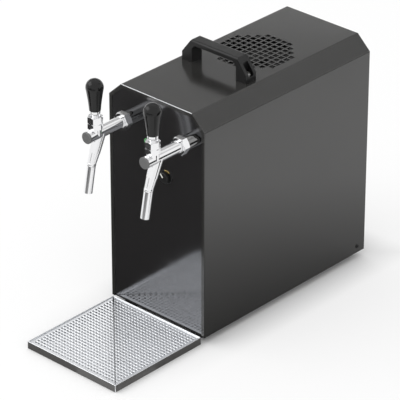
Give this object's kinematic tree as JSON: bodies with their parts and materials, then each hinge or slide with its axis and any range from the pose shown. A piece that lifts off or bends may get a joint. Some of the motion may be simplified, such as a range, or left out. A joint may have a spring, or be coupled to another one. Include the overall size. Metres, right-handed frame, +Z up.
{
  "type": "counter-top beer tap cooler",
  "caption": "Counter-top beer cooler with a dark grey sheet-metal cabinet, two chrome lever taps, a carry handle and a drip tray with a perforated grille.",
  "frame": {"origin": "on the counter, under the middle of the whole width and length", "axes": "+Z up, -Y towards the taps and the drip tray, +X to the right of a person facing the taps"},
  "size_m": [0.2132, 0.6226, 0.4695],
  "materials": {
    "cabinet_paint": "satin dark grey powder coat",
    "tray_paint": "satin grey coat",
    "inner_paint": "matt dark grey coat",
    "panel_gloss": "glossy black panel",
    "black_rubber": "matt black rubber",
    "black_steel": "blackened screw",
    "zinc_steel": "zinc-plated steel",
    "black_plastic": "satin black moulding",
    "knob_plastic": "polished black moulding",
    "fin_aluminium": "bare aluminium",
    "copper": "drawn copper tube",
    "shell_paint": "black enamel on steel",
    "foam": "closed-cell foam",
    "stainless": "stainless steel",
    "brass": "brass",
    "green_lens": "translucent green lens",
    "grey_cap": "satin grey",
    "chrome": "polished chrome plate",
    "dark_chrome": "polished black plate"
  },
  "bodies": {
    "cabinet": {"cover": "cabinet_paint", "base_pan": "inner_paint", "front_panel": "panel_gloss", "back_panel": "inner_paint", "rubber_feet": "black_rubber", "cover_screws": "black_steel", "back_screws": "zinc_steel", "carry_handle": "black_plastic", "handle_screws": "zinc_steel", "fan_frame": "black_plastic", "fan_motor": "zinc_steel", "fan_nuts": "zinc_steel", "condenser_fins": "fin_aluminium", "condenser_tube": "copper", "compressor": "shell_paint", "compressor_grommets": "black_rubber", "compressor_bolts": "zinc_steel", "terminal_box": "black_plastic", "filter_drier": "copper", "discharge_line": "copper", "suction_line": "copper", "liquid_line": "copper", "capillary": "copper", "cooling_block": "fin_aluminium", "insulation_front": "foam", "insulation_rear": "foam", "left_inlet_line": "stainless", "right_inlet_line": "stainless", "left_outlet_line": "stainless", "right_outlet_line": "stainless", "inlet_fittings": "stainless", "power_inlet": "black_plastic", "thermostat": "zinc_steel", "thermostat_bezel": "brass", "pilot_lamp": "green_lens", "left_shank": "dark_chrome", "right_shank": "dark_chrome", "left_locknut": "zinc_steel", "right_locknut": "zinc_steel", "left_coupling_nut": "chrome", "right_coupling_nut": "chrome", "left_tap_body": "chrome", "right_tap_body": "chrome", "left_front_cap": "grey_cap", "right_front_cap": "grey_cap", "left_bonnet_nut": "chrome", "right_bonnet_nut": "chrome", "left_spout": "chrome", "right_spout": "chrome"},
    "left_lever": {"left_lever": "chrome", "left_knob": "knob_plastic"},
    "right_lever": {"right_lever": "chrome", "right_knob": "knob_plastic"},
    "left_piston": {"left_piston": "stainless"},
    "right_piston": {"right_piston": "stainless"},
    "thermostat_knob": {"thermostat_knob": "black_plastic"},
    "fan_rotor": {"fan_rotor": "black_plastic"},
    "drip_tray": {"drip_tray": "tray_paint"},
    "drip_grille": {"drip_grille": "stainless"}
  },
  "joints": [
    {"name": "left_lever_hinge", "type": "hinge", "parent": "cabinet", "child": "left_lever", "pos_m": [-0.04075, -0.20475, 0.4005], "axis": [1, 0, 0], "range_deg": [0, 25]},
    {"name": "left_piston_slide", "type": "slide", "parent": "cabinet", "child": "left_piston", "axis": [0, 1, 0], "range_m": [0, 0.0049]},
    {"name": "right_lever_hinge", "type": "hinge", "parent": "cabinet", "child": "right_lever", "pos_m": [0.08425, -0.20475, 0.4005], "axis": [1, 0, 0], "range_deg": [0, 25]},
    {"name": "right_piston_slide", "type": "slide", "parent": "cabinet", "child": "right_piston", "axis": [0, 1, 0], "range_m": [0, 0.0049]},
    {"name": "thermostat_turn", "type": "hinge", "parent": "cabinet", "child": "thermostat_knob", "pos_m": [0.02, -0.11175, 0.2795], "axis": [0, 1, 0], "range_deg": [-135, 135]},
    {"name": "fan_spin", "type": "hinge", "parent": "cabinet", "child": "fan_rotor", "pos_m": [0, 0.12675, 0.4], "axis": [0, 0, 1], "continuous": true},
    {"name": "tray_pull", "type": "slide", "parent": "cabinet", "child": "drip_tray", "axis": [0, -1, 0], "range_m": [0, 0.08]},
    {"name": "grille_lift", "type": "slide", "parent": "drip_tray", "child": "drip_grille", "axis": [0, 0, 1], "range_m": [0, 0.05]}
  ],
  "couplings": [
    {"joint": "left_piston_slide", "follows": "left_lever_hinge", "m_per_rad": 0.011042},
    {"joint": "right_piston_slide", "follows": "right_lever_hinge", "m_per_rad": 0.011042}
  ]
}
